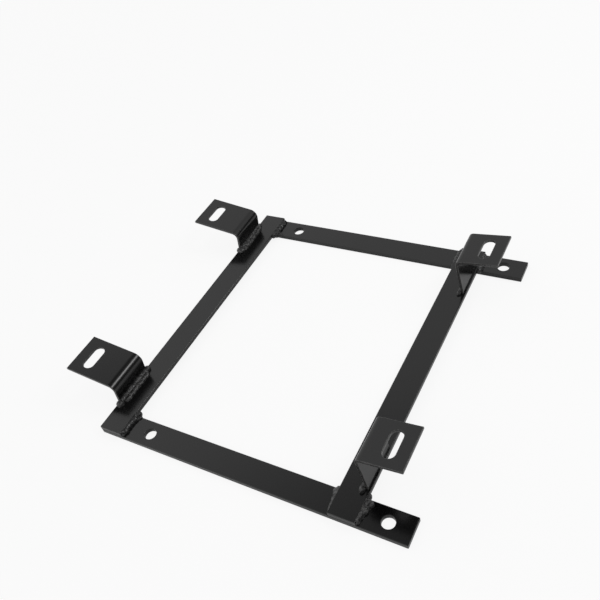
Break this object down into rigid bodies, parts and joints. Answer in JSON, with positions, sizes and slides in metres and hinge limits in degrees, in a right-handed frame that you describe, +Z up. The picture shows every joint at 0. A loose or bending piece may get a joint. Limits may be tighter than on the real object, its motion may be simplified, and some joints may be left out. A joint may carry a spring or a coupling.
{
  "type": "seat bracket",
  "caption": "Welded flat bar frame with bent slotted tabs, which carries a vehicle seat and joins its bolt pattern to that of the floor.",
  "frame": {"origin": "centre of the rectangle of round bolt holes, on the underside of the cross bars", "axes": "+X along the cross bars, towards their plain ends past the right side bar; +Y along the side bars, towards the rear; +Z up, from the underside to the tabs"},
  "size_m": [0.4622, 0.412, 0.0696],
  "materials": {
    "coated_bar": "satin black powder coat on flat bar",
    "coated_tab": "satin black powder coat on bent plate",
    "coated_bead": "satin black powder coat over weld ripples"
  },
  "bodies": {
    "root": {"front_cross_bar": "coated_bar", "rear_cross_bar": "coated_bar", "left_side_bar": "coated_bar", "right_side_bar": "coated_bar", "front_left_tab": "coated_tab", "front_right_tab": "coated_tab", "rear_left_tab": "coated_tab", "rear_right_tab": "coated_tab", "front_left_lap_bead": "coated_bead", "front_right_inner_lap_bead": "coated_bead", "front_right_outer_lap_bead": "coated_bead", "front_left_foot_bead": "coated_bead", "front_right_foot_bead": "coated_bead", "rear_left_lap_bead": "coated_bead", "rear_right_inner_lap_bead": "coated_bead", "rear_right_outer_lap_bead": "coated_bead", "rear_left_foot_bead": "coated_bead", "rear_right_foot_bead": "coated_bead"}
  },
  "joints": []
}
